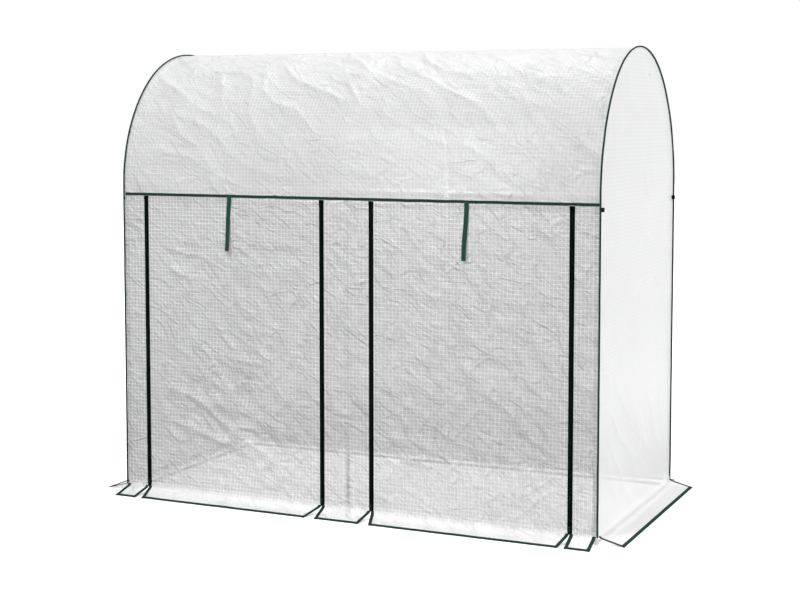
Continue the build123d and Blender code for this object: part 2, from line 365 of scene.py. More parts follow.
def band_object(name: str, section: Section, rows: int, length: float, route: Route) -> bpy.types.Object:
    """Make one tape with closed ends.

    Args:
        name: The object's name.
        section: The tape's section.
        rows: Faces along the tape.
        length: The tape's length, for its pattern.
        route: Gives the place of a share along, an offset over the width and one over the thickness.

    Returns:
        The tape.
    """
    bm = bmesh.new()
    add_band(bm, section, rows, length, route)
    return finish_mesh(name, bm)


def add_block(
    bm: bmesh.types.BMesh, corner: Vector, opposite: Vector, edge: float, taper: float = 1.0
) -> None:
    """Add a bevelled block to a bmesh.

    Args:
        bm: The bmesh.
        corner: One corner.
        opposite: The corner across from it.
        edge: The width of the bevel.
        taper: The share of its width in x that its lower end keeps.
    """
    part = bmesh.new()
    verts = bmesh.ops.create_cube(part, size=1.0)["verts"]
    bmesh.ops.scale(part, vec=[abs(size) for size in opposite - corner], verts=verts)
    for vert in verts:
        if vert.co.z < 0:
            vert.co.x *= taper
    bmesh.ops.translate(part, vec=(corner + opposite) / 2, verts=verts)
    bmesh.ops.bevel(
        part, geom=part.edges[:], offset=edge, affect="EDGES", segments=2, profile=0.5, material=-1
    )
    join(bm, part)


def add_bar(bm: bmesh.types.BMesh, middle: Vector, radius: float, length: float) -> None:
    """Add a round bar along X to a bmesh.

    Args:
        bm: The bmesh.
        middle: The bar's middle.
        radius: The bar's radius.
        length: The bar's length.
    """
    part = bmesh.new()
    verts = bmesh.ops.create_cone(
        part, cap_ends=True, segments=20, radius1=radius, radius2=radius, depth=length
    )["verts"]
    for vert in verts:
        vert.co = middle + Vector((vert.co.z, vert.co.y, -vert.co.x))
    join(bm, part)


# Finishes


@dataclass(frozen=True)
class Nodes:
    """A node tree, with short ways to add to it. A value may be another node's socket."""

    tree: bpy.types.NodeTree

    def feed(self, slot: Socket, value: object) -> None:
        """Link a socket to an input, or set the input to a value.

        Args:
            slot: The input.
            value: The socket or the value.
        """
        if isinstance(value, Socket):
            self.tree.links.new(value, slot)
        else:
            slot.default_value = value

    def set(self, made: bpy.types.Node, **settings: object) -> None:
        """Set up a node.

        Args:
            made: The node.
            settings: Its attributes, or its inputs by name with spaces as underscores.
        """
        for key, value in settings.items():
            if hasattr(made, key):
                setattr(made, key, value)
            else:
                self.feed(made.inputs[key.replace("_", " ")], value)

    def add(self, kind: str, **settings: object) -> bpy.types.Node:
        """Add a node.

        Args:
            kind: The node's type, without its usual prefix.
            settings: Its attributes, or its inputs by name with spaces as underscores.

        Returns:
            The node.
        """
        made = self.tree.nodes.new(f"ShaderNode{kind}")
        self.set(made, **settings)
        return made

    def math(self, operation: str, *values: object, kind: str = "Math") -> Socket:
        """Add a math node.

        Args:
            operation: The operation.
            values: What it works on, up to three values.
            kind: The node's type, Math or VectorMath.

        Returns:
            The result.
        """
        made = self.add(kind, operation=operation)
        for slot, value in zip(made.inputs, values):
            self.feed(slot, value)
        return made.outputs[0]

    def mix(self, share: object, low: object, high: object) -> Socket:
        """Mix two numbers by the share of the second one."""
        return self.add("Mix", data_type="FLOAT", Factor=share, A=low, B=high).outputs[0]

    def blend(self, share: object, low: object, high: object) -> Socket:
        """Blend two colours.

        Args:
            share: The share of the second colour.
            low: The first colour.
            high: The second colour.

        Returns:
            The blended colour.
        """
        # The node has inputs and outputs of each kind, so the colour ones are picked by their number.
        made = self.add("Mix", data_type="RGBA", Factor=share)
        for slot, colour in zip(made.inputs[6:8], (low, high)):
            self.feed(slot, colour if isinstance(colour, Socket) else (*colour, 1))
        return made.outputs[2]

    def ramp(
        self, value: Socket, start: float, end: float, low: float = 0.0, high: float = 1.0, eased: bool = True
    ) -> Socket:
        """Turn a value between two limits into one between two others, held at both ends.

        Args:
            value: The value.
            start: Where it starts.
            end: Where it ends.
            low: The result at the start.
            high: The result at the end.
            eased: Whether the change is eased at both ends.

        Returns:
            The result.
        """
        kind = "SMOOTHSTEP" if eased else "LINEAR"
        made = self.add("MapRange", interpolation_type=kind, Value=value, From_Min=start, From_Max=end)
        self.set(made, To_Min=low, To_Max=high)
        return made.outputs[0]

    def around(self, share: Socket, middle: float, spread: float) -> Socket:
        """Turn a share from 0 to 1 into a value round a middle."""
        return self.ramp(share, 0.0, 1.0, middle - spread, middle + spread, eased=False)

    def noise(
        self, place: Socket, scale: float, detail: float, dimensions: str = "2D", **more: float
    ) -> bpy.types.Node:
        """Add a cloudy pattern.

        Args:
            place: The place on the piece.
            scale: How often it repeats in a metre.
            detail: How fine it is.
            dimensions: 2D or 3D.
            more: Other inputs of the node.

        Returns:
            The node.
        """
        return self.add(
            "TexNoise", noise_dimensions=dimensions, Vector=place, Scale=scale, Detail=detail, **more
        )

    def bump(self, height: Socket, strength: float, depth: float) -> Socket:
        """Turn a height into the surface's normal."""
        return self.add("Bump", Strength=strength, Distance=depth, Height=height).outputs["Normal"]

    def stretched(self, place: Socket, turn: float, size: tuple[float, float]) -> Socket:
        """Turn and stretch the place for a slanted pattern.

        Args:
            place: The place on the film.
            turn: The pattern's slope in degrees.
            size: The length of one unit of the pattern along its slope and across it.

        Returns:
            The place in the pattern.
        """
        rotation, scale = (0, 0, math.radians(turn)), (*size, 1)
        return self.add(
            "Mapping", vector_type="TEXTURE", Vector=place, Rotation=rotation, Scale=scale
        ).outputs["Vector"]


def new_material(name: str) -> tuple[bpy.types.Material, Nodes, bpy.types.Node]:
    """Make a plain material.

    Args:
        name: Its name.

    Returns:
        The material, its nodes and its shader.
    """
    material = bpy.data.materials.new(name)
    material.use_nodes = True
    return material, Nodes(material.node_tree), material.node_tree.nodes["Principled BSDF"]


@dataclass(frozen=True)
class Finish:
    """What all finishes share."""

    name: str
    slot: str

    def make(self) -> bpy.types.Material:
        """Make the material."""
        raise NotImplementedError

    def dress(self, piece: bpy.types.Object) -> None:
        """Give a piece this finish.

        Args:
            piece: The piece.
        """
        material = bpy.data.materials.get(self.name) or self.make()
        piece.data.materials.clear()
        piece.data.materials.append(material)


@dataclass(frozen=True)
class CreaseFamily:
    """Thin broken lines in the film: their slope in degrees, their length and how far they stand apart."""

    turn: float
    length: float
    apart: float
    half_line: float = 0.06
    patch_scale: float = 1.3
    patch_edge: tuple[float, float] = (0.52, 0.68)

    def lines(self, nodes: Nodes, place: Socket) -> Socket:
        """Draw the lines.

        Args:
            nodes: The material's nodes.
            place: The place on the film.

        Returns:
            A value that is 1 on the lines.
        """
        turned = nodes.stretched(place, self.turn, (self.length, self.apart))
        cells = nodes.add(
            "TexVoronoi", voronoi_dimensions="2D", feature="DISTANCE_TO_EDGE", Vector=turned, Scale=1.0
        )
        line = nodes.ramp(cells.outputs["Distance"], 0.0, self.half_line, 1.0, 0.0)
        patch = nodes.noise(turned, self.patch_scale, 2.0).outputs["Fac"]
        return nodes.math("MULTIPLY", line, nodes.ramp(patch, *self.patch_edge))


@dataclass(frozen=True)
class FilmFinish(Finish):
    """Pale translucent film with a square net of threads in it, and creases painted white: partly the
    whitening of creased film, partly painted highlights on their ridges.
    """

    pitch: float = 0.0148
    thread: float = 0.13
    thread_blur: float = 0.6
    cell_colour: Colour = (0.513, 0.517, 0.517)
    thread_colour: Colour = (0.745, 0.75, 0.75)
    # The creases' white is partly the film's own whitening and partly a painted highlight.
    crease_white_and_highlight: Colour = (1.0, 1.0, 1.0)
    cell_alpha: float = 0.7
    thread_alpha: float = 0.82
    roughness: float = 0.32
    roughness_spread: float = 0.08
    cloud_scale: float = 7.0
    specular: float = 0.35
    sheen: float = 0.0
    sheen_roughness: float = 0.3
    sway: float = 0.035
    sway_scale: float = 9.0
    families: tuple[CreaseFamily, CreaseFamily] = (
        CreaseFamily(-36, 0.3, 0.1), CreaseFamily(-9, 0.24, 0.085)
    )
    whitening_and_highlight: float = 0.2
    crinkle: float = 0.9
    depth: float = 0.03
    fold_turn: float = -42
    fold_size: tuple[float, float] = (0.1, 0.045)
    fold_swirl: float = 0.9
    thread_height: float = 0.02
    crease_height: float = 0.16
    flap_top: float = 0.1
    flap_start: float = 0.025
    flap_fade: float = 0.03
    # Painted light: the flap part of a sheet takes its own pale, even colour, for the light it catches lying
    # face up over the pale floor.
    flap_colour: Colour = (0.95, 0.95, 0.95)
    flap_alpha: float = 0.7
    # Along the crown the net is evened out: a painted glare, where the light washes the net out.
    crown: float | None = None
    crown_fade: tuple[float, float] = (0.12, 0.42)
    crown_net: float = 0.25
    crown_even: float = 0.27

    def net(self, nodes: Nodes, uv: Socket, along: Socket) -> Socket:
        """Draw the net. Along the crown of a roof it fades into an even tone, a painted glare that washes the
        net out there.

        Args:
            nodes: The material's nodes.
            uv: The place on the film.
            along: The distance over the film.

        Returns:
            A value that is 1 on the threads.
        """
        net = nodes.add(
            "TexBrick", offset=0.0, squash=1.0, Vector=uv, Scale=1 / self.pitch, Mortar_Size=self.thread,
            Mortar_Smooth=self.thread_blur, Brick_Width=1.0, Row_Height=1.0,
        ).outputs["Fac"]
        if self.crown is None:
            return net
        away = nodes.math("ABSOLUTE", nodes.math("SUBTRACT", along, self.crown))
        return nodes.mix(nodes.ramp(away, *self.crown_fade, self.crown_net), self.crown_even, net)

    def relief(self, nodes: Nodes, place: Socket, thread: Socket, crease: Socket) -> Socket:
        """Add up the folds, the threads and the creases.

        Args:
            nodes: The material's nodes.
            place: The place on the film.
            thread: A value that is 1 on the threads.
            crease: A value that is 1 on the creases.

        Returns:
            The surface's normal.
        """
        slanted = nodes.stretched(place, self.fold_turn, self.fold_size)
        fold = nodes.noise(slanted, 1.0, 3.0, Distortion=self.fold_swirl).outputs["Fac"]
        height = nodes.math("ABSOLUTE", nodes.math("SUBTRACT", fold, 0.5))
        for line, share in ((thread, self.thread_height), (crease, self.crease_height)):
            height = nodes.math("ADD", height, nodes.math("MULTIPLY", line, share))
        return nodes.bump(height, self.crinkle, self.depth)

    def make(self) -> bpy.types.Material:
        """Make the film's material."""
        material, nodes, shader = new_material(self.name)
        uv = nodes.add("UVMap", uv_map="UVMap").outputs["UV"]
        along = nodes.add("SeparateXYZ", Vector=uv).outputs["Y"]
        thread = self.net(nodes, uv, along)
        swirl = nodes.noise(uv, self.sway_scale, 2.0).outputs["Color"]
        bent = nodes.math("MULTIPLY_ADD", swirl, (self.sway, self.sway, 0), uv, kind="VectorMath")
        crease = nodes.math("MAXIMUM", *(family.lines(nodes, bent) for family in self.families))

        weave = nodes.blend(thread, self.cell_colour, self.thread_colour)
        # Painted highlight, in part: the creases are blended towards white, with the film's own whitening.
        white = nodes.blend(nodes.math("MULTIPLY", crease, self.whitening_and_highlight), weave, self.crease_white_and_highlight)
        woven = nodes.ramp(thread, 0.0, 1.0, self.cell_alpha, self.thread_alpha, eased=False)
        opaque = nodes.math("MAXIMUM", woven, nodes.math("MULTIPLY", crease, self.thread_alpha))
        # The flap mask blends in the flap's pale colour, which is painted light.
        flap = nodes.ramp(along, self.flap_top - self.flap_start, self.flap_top + self.flap_fade, 1.0, 0.0)
        cloud = nodes.noise(uv, self.cloud_scale, 3.0).outputs["Fac"]
        nodes.set(
            shader,
            Base_Color=nodes.blend(flap, white, self.flap_colour),
            Alpha=nodes.mix(flap, opaque, self.flap_alpha),
            Roughness=nodes.around(cloud, self.roughness, self.roughness_spread),
            Normal=self.relief(nodes, bent, thread, crease),
            Specular_IOR_Level=self.specular,
            Sheen_Weight=self.sheen,
            Sheen_Roughness=self.sheen_roughness,
        )
        return material


@dataclass(frozen=True)
class TapeFinish(Finish):
    """Woven tape, with rows of stitches where it is sewn."""

    colour: Colour = (0.0088, 0.029, 0.0208)
    light: Colour = (0.015, 0.045, 0.033)
    weave: float = 0.0011
    patch_scale: float = 60.0
    stitch_at: float = 0.0
    stitch_half: float = 0.0006
    stitch_pitch: float = 0.006
    stitch_share: float = 0.62
    stitch_height: float = 2.0
    stitch_colour: Colour = (0.025, 0.064, 0.048)
    bump: float = 0.5
    depth: float = 0.0004
    roughness: float = 0.75
    specular: float = 0.08

    def stitches(self, nodes: Nodes, across: Socket, along: Socket) -> Socket:
        """Draw a row of stitches along both edges.

        Args:
            nodes: The material's nodes.
            across: The offset from the tape's middle.
            along: The distance along the tape.

        Returns:
            A value that is 1 on the stitches.
        """
        row = nodes.math("COMPARE", nodes.math("ABSOLUTE", across), self.stitch_at, self.stitch_half)
        place = nodes.math("FRACT", nodes.math("DIVIDE", along, self.stitch_pitch))
        return nodes.math("MULTIPLY", row, nodes.math("LESS_THAN", place, self.stitch_share))

    def make(self) -> bpy.types.Material:
        """Make the tape's material."""
        material, nodes, shader = new_material(self.name)
        uv = nodes.add("UVMap", uv_map="UVMap").outputs["UV"]
        across, along = nodes.add("SeparateXYZ", Vector=uv).outputs[:2]
        turn = 2 * math.pi / self.weave
        warp, weft = (nodes.math("SINE", nodes.math("MULTIPLY", place, turn)) for place in (across, along))
        cloth = nodes.math("MULTIPLY_ADD", nodes.math("MULTIPLY", warp, weft), 0.5, 0.5)
        patch = nodes.noise(uv, self.patch_scale, 3.0, "3D").outputs["Fac"]
        share = nodes.math("MULTIPLY_ADD", cloth, 0.5, nodes.math("MULTIPLY", patch, 0.5))
        colour, height = nodes.blend(share, self.colour, self.light), cloth
        if self.stitch_at > 0:
            stitch = self.stitches(nodes, across, along)
            colour = nodes.blend(stitch, colour, self.stitch_colour)
            height = nodes.math("ADD", cloth, nodes.math("MULTIPLY", stitch, self.stitch_height))
        nodes.set(
            shader,
            Base_Color=colour,
            Normal=nodes.bump(height, self.bump, self.depth),
            Roughness=self.roughness,
            Specular_IOR_Level=self.specular,
        )
        return material


@dataclass(frozen=True)
class CoatFinish(Finish):
    """A coat or a moulded skin with a fine grain. Its glow is painted light: emission that is strongest on
    the sides that face up and fades to none on the sides that face down.
    """

    colour: Colour = (0.8, 0.8, 0.8)
    worn_and_glow: Colour = (0.85, 0.85, 0.85)
    cloud_scale: float = 9.0
    roughness: float = 0.4
    roughness_spread: float = 0.06
    grain: float = 900.0
    bump: float = 0.15
    depth: float = 0.0003
    specular: float = 0.5
    glow: float = 0.0
    glow_from: float = -0.5
    glow_full: float = 0.6

    def make(self) -> bpy.types.Material:
        """Make the coat's material."""
        material, nodes, shader = new_material(self.name)
        place = nodes.add("TexCoord").outputs["Object"]
        speck = nodes.noise(place, self.grain, 2.0, "3D").outputs["Fac"]
        cloud = nodes.noise(place, self.cloud_scale, 4.0, "3D").outputs["Fac"]
        nodes.set(
            shader,
            Base_Color=nodes.blend(cloud, self.colour, self.worn_and_glow),
            Roughness=nodes.around(speck, self.roughness, self.roughness_spread),
            Normal=nodes.bump(speck, self.bump, self.depth),
            Specular_IOR_Level=self.specular,
        )
        # Painted light: a lit top and a shaded underside, drawn as emission by how far each side faces up.
        if self.glow > 0:
            normal = nodes.add("NewGeometry").outputs["Normal"]
            upward = nodes.add("SeparateXYZ", Vector=normal).outputs["Z"]
            glow = nodes.ramp(upward, self.glow_from, self.glow_full, 0.0, self.glow, eased=False)
            nodes.set(shader, Emission_Color=(*self.worn_and_glow, 1), Emission_Strength=glow)
        return material


FILM = FilmFinish("netted_film", "film")
# The roof has no ground flap, so the place where a flap would start lies off the sheet.
# Painted light: the roof is a paler copy of the same film with a weaker net, for how bright it shows facing
# up into the light from above.
ROOF_FILM = FilmFinish(
    "roof_film", "film", cell_colour=(0.625, 0.629, 0.629), thread_colour=(0.695, 0.699, 0.699),
    cell_alpha=0.8, thread_alpha=0.9, roughness=0.38, specular=0.2, sheen=0.3, depth=0.016, whitening_and_highlight=0.15,
    flap_top=-1.0, crown=TUNNEL.arch_length / 2,
)
# Painted light: the end panels are a paler, more even copy of the same film, with their own flap colour, for
# the strong light on the right end.
END_FILM = FilmFinish(
    "end_film", "film", cell_colour=(0.708, 0.712, 0.712), thread_colour=(0.728, 0.732, 0.732),
    cell_alpha=0.9, thread_alpha=0.93, whitening_and_highlight=0.1, crinkle=0.05, flap_fade=0.25,
    flap_colour=(0.81, 0.81, 0.81), flap_alpha=0.68,
)
BINDING = TapeFinish("green_binding", "binding", stitch_at=0.0032)
HEM = TapeFinish("green_hem", "binding", stitch_at=0.0035)
PIPING = TapeFinish("green_piping", "binding")
WEBBING = TapeFinish(
    "strap_webbing", "strap", colour=(0.0142, 0.05, 0.035), light=(0.0235, 0.077, 0.054), weave=0.0016,
    stitch_at=0.007,
)
ZIP_TAPE = TapeFinish(
    "zip_tape", "zip", colour=(0.0003, 0.0024, 0.0014), light=(0.0009, 0.0048, 0.0032), stitch_at=0.0034,
    stitch_colour=(0.0024, 0.01, 0.0064), roughness=0.9, specular=0.01,
)
ZIP_TEETH = CoatFinish(
    "zip_teeth", "zip", colour=(0.0016, 0.008, 0.0056), worn_and_glow=(0.004, 0.0144, 0.0104), roughness=0.6,
    grain=1500.0, specular=0.03,
)
SLIDER_COAT = CoatFinish(
    "slider_coat", "slider", colour=(0.005, 0.013, 0.0096), worn_and_glow=(0.008, 0.019, 0.0144), roughness=0.5,
    specular=0.1,
)
TAB_COAT = replace(SLIDER_COAT, name="pull_tab_coat", slot="pull_tab")
# The white frame has a painted glow: emission that is strongest on the sides that face up, a little on most
# pieces and more on the base pieces. This painted light stands in for the light that the film scatters inside
# the cover and that the pale floor throws onto the base.
TUBE_COAT = CoatFinish(
    "tube_coat", "frame_tube", colour=(0.8, 0.81, 0.81), worn_and_glow=(0.86, 0.86, 0.86), roughness=0.38, glow=0.25
)
CONNECTOR_SKIN = CoatFinish(
    "connector_skin", "connector", colour=(0.86, 0.87, 0.87), worn_and_glow=(0.9, 0.9, 0.9), roughness=0.5,
    grain=1400.0, bump=0.3, glow=0.25,
)
# The base pieces get copies with a stronger painted glow.
BASE_PAINTED_GLOW = 0.62
BASE_PAINTED_GLOW_TUBE_COAT = replace(TUBE_COAT, name="base_painted_glow_tube_coat", glow=BASE_PAINTED_GLOW)
BASE_PAINTED_GLOW_CONNECTOR_SKIN = replace(CONNECTOR_SKIN, name="base_painted_glow_connector_skin", glow=BASE_PAINTED_GLOW)
PLUG_SKIN = CoatFinish(
    "plug_skin", "end_plug", colour=(0.002, 0.0022, 0.0022), worn_and_glow=(0.004, 0.0045, 0.0045), roughness=0.6,
    grain=1400.0, bump=0.35, specular=0.06,
)


def fit(piece: bpy.types.Object, body: str, finish: Finish, *nodes: str) -> None:
    """Fasten a piece to a body in place of its solids, and dress it.

    Args:
        piece: The piece.
        body: The body that it moves with.
        finish: Its finish.
        nodes: The solids that it stands for.
    """
    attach(piece, body)
    if nodes:
        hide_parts(*nodes)
    finish.dress(piece)
    LOG.info("%s on %s", piece.name, body)


# Film


@dataclass(frozen=True)
class Grain:
    """A kind of unevenness: how often it comes in a metre each way, and its own place in the noise.

    Its crests are lines, as sharp as the power gives, and the level keeps them even on the whole.
    """

    across: float
    along: float
    offset: float
    power: int = 1
    level: float = 0.0

    def at(self, across: float, along: float, seed: float) -> float:
        """Give the noise at a place, from about -1 to 1."""
        return noise.noise(Vector((across * self.across, along * self.along, seed + self.offset)))

    def crest(self, across: float, along: float, seed: float) -> float:
        """Give the height of the crests at a place."""
        return (1 - abs(self.at(across, along, seed))) ** self.power - self.level


SLACK = Grain(2.6, 2.2, 0.0)
DRIFT = Grain(4.0, 4.0, 3.0)
PATCHES = Grain(3.1, 3.1, 11.0)
FOLDS = Grain(2.6, 8.5, 23.0, power=5, level=0.35)
CREASES = Grain(7.0, 19.0, 37.0, power=5, level=0.35)
CROSS_CREASES = Grain(6.0, 17.0, 51.0, power=6, level=0.3)
DENTS = Grain(24.0, 27.0, 67.0)


@dataclass(frozen=True)
class Crumple:
    """Slack and packing creases of a sheet of film."""

    seed: float
    slack: float = 0.004
    fold: float = 0.008
    crease: float = 0.003
    dent: float = 0.0012
    inward: float = 0.002
    foot: float = 0.0
    foot_top: float = 0.8
    foot_fade: float = 0.4
    slope: float = math.radians(36)
    drift: float = 0.06
    contrast: float = 1.4
    fold_floor: float = 0.3

    def height(self, across: float, along: float) -> float:
        """Give how far the film stands out at a place.

        Args:
            across: The place across the sheet.
            along: The place up the sheet.

        Returns:
            The height over the plain sheet.
        """
        seed = self.seed
        cos, sin = math.cos(self.slope), math.sin(self.slope)
        run = across * cos - along * sin
        over = across * sin + along * cos + self.drift * DRIFT.at(across, along, seed)
        patch = smooth(0.5 + self.contrast * PATCHES.at(across, along, seed))
        crease = CREASES.crest(run, over, seed)
        cross = CROSS_CREASES.crest(over, run, seed)
        rise = self.slack * SLACK.at(across, along, seed)
        rise += self.fold * FOLDS.crest(run, over, seed) * (self.fold_floor + (1 - self.fold_floor) * patch)
        rise += self.crease * (crease * patch + cross / 2 * (1 - patch))
        rise += self.dent * DENTS.at(across, along, seed) * patch
        return rise * (1 + self.foot * smooth((self.foot_top - along) / self.foot_fade)) - self.inward


@dataclass(frozen=True)
class Room:
    """How far film may leave its plain sheet near a piece that it must not cross."""

    close: float
    start: float
    fade: float
    more: float = 0.03

    def at(self, distance: float) -> float:
        """Give the room at a distance from the piece."""
        return self.close + self.more * smooth((distance - self.start) / self.fade)


TUBE_ROOM = Room(close=0.002, start=0.008, fade=0.07)
STRAP_ROOM = Room(close=0.0022, start=0.02, fade=0.08)


@dataclass(frozen=True)
class FlapCut:
    """The cut of a ground flap: its ends at the wall and how far each end runs in at the tip."""

    low: float
    high: float
    low_taper: float = 0.0
    high_taper: float = 0.0

    def ends(self, along: float) -> tuple[float, float]:
        """Give the flap's low and high end at a distance from its tip."""
        share = min(max(1 - along / TUNNEL.flap_reach, 0.0), 1.0)
        return self.low + self.low_taper * share, self.high - self.high_taper * share


@dataclass
class WallSheet:
    """A wall of film, with or without its ground flap. It may clear a rail behind it or a strap before it."""

    name: str
    side: Side
    low: float
    high: float
    foot: float
    top: float
    crumple: Crumple
    cut: FlapCut | None = None
    hold: float = 0.05
    step: float = 0.0055
    tuck: float = 0.003
    narrowing: float = 0.03
    foot_slack: float = 0.012
    flap_lift: float = 0.4
    rail: float = math.inf
    strap: float = math.inf

    def ends(self, along: float) -> tuple[float, float]:
        """Give the sheet's ends at a distance over it.

        Args:
            along: The distance from the flap's tip.

        Returns:
            The low and the high end.
        """
        if self.cut is None or along >= TUNNEL.flap_length:
            return self.low, self.high
        low, high = self.cut.ends(along)
        low, high = low + self.tuck, high - self.tuck
        share = smooth((along - TUNNEL.flap_length + self.narrowing) / self.narrowing)
        return low + (self.low - low) * share, high + (self.high - high) * share

    def place(self, share: float, rise: float) -> Spot:
        """Put a point of the grid on the wall.

        Args:
            share: The share across.
            rise: The share up the sheet.

        Returns:
            The place and its UV.
        """
        along = self.foot + (self.top - self.foot) * rise
        low, high = self.ends(along)
        across = low + (high - low) * share
        edge = min(across - low, high - across, self.top - along, along - self.foot + self.foot_slack)
        from_tube = min(abs(across), max(self.rail - along, 0.0))
        lift = self.crumple.height(across, along) * smooth(edge / self.hold)
        lift = max(lift, -TUBE_ROOM.at(from_tube))
        lift = min(lift, STRAP_ROOM.at(abs(across - self.strap)))
        if along < TUNNEL.flap_length:
            lift = max(lift, 0.0) * self.flap_lift
        return TUNNEL.wall(self.side, across, along, lift - TUNNEL.film / 2), (across, along)

    def build(self) -> bpy.types.Object:
        """Make the sheet."""
        columns, rows = (max(FEWEST_CELLS, round(length / self.step)) for length in self.flat)
        return sheet_object(self.name, columns, rows, self.place)

    @property
    def flat(self) -> tuple[float, float]:
        """Give the sheet's flat width and length."""
        return self.high - self.low, self.top - self.foot


@dataclass
class EndSheet:
    """An end panel of film under the arch, with its ground flap."""

    name: str
    side: Side
    crumple: Crumple
    tuck: float = 0.005
    hold: float = 0.06
    top_slack: float = 0.01
    flap_lift: float = 0.6
    columns: int = 140
    rows: int = 260
    straight_rows: float = 0.66
    slices: int = 200

    def height_at(self, rise: float) -> tuple[float, float]:
        """Give the distance over the sheet and the height of a row.

        Args:
            rise: The share up the rows.

        Returns:
            The distance over the sheet from the flap's tip, and the height over the ground.
        """
        spring = TUNNEL.along_at(TUNNEL.spring)
        if rise <= self.straight_rows:
            along = self.tuck + (spring - self.tuck) * rise / self.straight_rows
            return along, TUNNEL.spring + along - spring
        turn = (rise - self.straight_rows) / (1 - self.straight_rows) * math.pi / 2
        height = TUNNEL.spring + (TUNNEL.ridge - TUNNEL.spring) * math.sin(turn)
        return TUNNEL.along_at(height), height

    def place(self, share: float, rise: float) -> Spot:
        """Put a point of the grid on the panel.

        Args:
            share: The share across.
            rise: The share up the rows.

        Returns:
            The place and its UV.
        """
        along, height = self.height_at(rise)
        span = TUNNEL.half_span(height) - TUNNEL.film / 2
        if along < TUNNEL.flap_length:
            span -= self.tuck * smooth(1 - along / TUNNEL.flap_length)
        across = (2 * share - 1) * span
        edge = min(span - abs(across), along - self.tuck, TUNNEL.ridge - height + self.top_slack)
        lift = self.crumple.height(across, along) * smooth(edge / self.hold)
        if along < TUNNEL.flap_length:
            lift = max(lift, 0.0) * self.flap_lift
        return TUNNEL.wall(self.side, across, along, lift - TUNNEL.film / 2), (across, along)

    def build(self) -> bpy.types.Object:
        """Make the panel."""
        return sheet_object(self.name, self.columns, self.rows, self.place)

    @property
    def flat(self) -> tuple[float, float]:
        """Give the panel's greatest flat width and length."""
        return 2 * TUNNEL.half_depth, TUNNEL.along_at(TUNNEL.ridge) - self.tuck

    @property
    def area(self) -> float:
        """Give the panel's flat area, with the arch added up in slices."""
        step = (TUNNEL.ridge - TUNNEL.spring) / self.slices
        heights = (TUNNEL.spring + (i + 0.5) * step for i in range(self.slices))
        arch = sum(2 * TUNNEL.half_span(height) * step for height in heights)
        return arch + 2 * TUNNEL.half_depth * (TUNNEL.along_at(TUNNEL.spring) - self.tuck)


@dataclass
class RoofSheet:
    """The one sheet that goes over the arch from eave to eave, drawn tight along the ridge."""

    crumple: Crumple
    step: float = 0.0066
    hold: float = 0.06
    ridge_slack: float = 0.15
    ridge_fade: float = 0.2

    def place(self, share: float, rise: float) -> Spot:
        """Put a point of the grid on the roof.

        Args:
            share: The share across.
            rise: The share over the arch.

        Returns:
            The place and its UV.
        """
        reach = TUNNEL.half_width - TUNNEL.film / 2
        across = (2 * share - 1) * reach
        along = TUNNEL.arch_length * rise
        edge = min(reach - abs(across), along, TUNNEL.arch_length - along)
        ridge = abs(along - TUNNEL.arch_length / 2)
        slack = self.ridge_slack + (1 - self.ridge_slack) * smooth(ridge / self.ridge_fade)
        lift = self.crumple.height(across, along) * smooth(edge / self.hold) * slack
        lift = max(lift, -TUBE_ROOM.at(min(abs(across), ridge)))
        y, z = TUNNEL.arch(along, lift - TUNNEL.film / 2)
        return Vector((across, y, z)), (across, along)

    def build(self) -> bpy.types.Object:
        """Make the roof."""
        columns, rows = (round(length / self.step) for length in self.flat)
        return sheet_object("roof_film", columns, rows, self.place)

    @property
    def flat(self) -> tuple[float, float]:
        """Give the roof's flat width and length."""
        return 2 * TUNNEL.half_width, TUNNEL.arch_length


# Tape


@dataclass(frozen=True)
class FlapHem:
    """The tape folded over the free edges of one ground flap."""

    side: Side
    cut: FlapCut
    section: Section = Section(0.0135, 0.0026)
    wave: float = 0.0012
    waves: float = 9.0
    seed: float = 5.0
    under: float = 0.0002
    end_rows: int = 24
    fewest_rows: int = 12
    step: float = 0.012

    @property
    def half(self) -> float:
        """Give half the tape's width."""
        return self.section.width / 2

    @property
    def rest(self) -> float:
        """Give how far the tape's middle stands out of the flap."""
        return self.section.thickness / 2 - TUNNEL.film

    def end(self, sign: int, share: float, across: float, out: float) -> Vector:
        """Put a point of the tape along one slanted end of the flap.

        Args:
            sign: -1 at the low end, 1 at the high end.
            share: The share of the way up from the tip.
            across: The offset over the width.
            out: The offset over the thickness.

        Returns:
            The place.
        """
        along = TUNNEL.flap_length * share
        low, high = self.cut.ends(along)
        middle = low + self.half if sign < 0 else high - self.half
        return TUNNEL.wall(self.side, middle + across, along, out + self.rest - self.under)

    def tip(self, share: float, across: float, out: float) -> Vector:
        """Put a point of the tape along the flap's tip.

        Args:
            share: The share of the way from the low end.
            across: The offset over the width.
            out: The offset over the thickness.

        Returns:
            The place.
        """
        low, high = self.cut.ends(0)
        place = low + (high - low) * share
        lift = self.wave * max(0.0, ripple(place, self.waves, self.cut.low, self.seed))
        return TUNNEL.wall(self.side, place, self.half + across, out + self.rest + lift)

    def add(self, bm: bmesh.types.BMesh) -> None:
        """Add the hem's three runs to a bmesh.

        Args:
            bm: The bmesh.
        """
        for sign in (-1, 1):
            add_band(bm, self.section, self.end_rows, TUNNEL.flap_length, partial(self.end, sign))
        low, high = self.cut.ends(0)
        rows = max(self.fewest_rows, round((high - low) / self.step))
        add_band(bm, self.section, rows, high - low, self.tip)


def hem_object(name: str, hems: list[FlapHem]) -> bpy.types.Object:
    """Make one piece of the hems of several flaps.

    Args:
        name: The piece's name.
        hems: The hems.

    Returns:
        The piece.
    """
    bm = bmesh.new()
    for hem in hems:
        hem.add(bm)
    return finish_mesh(name, bm)


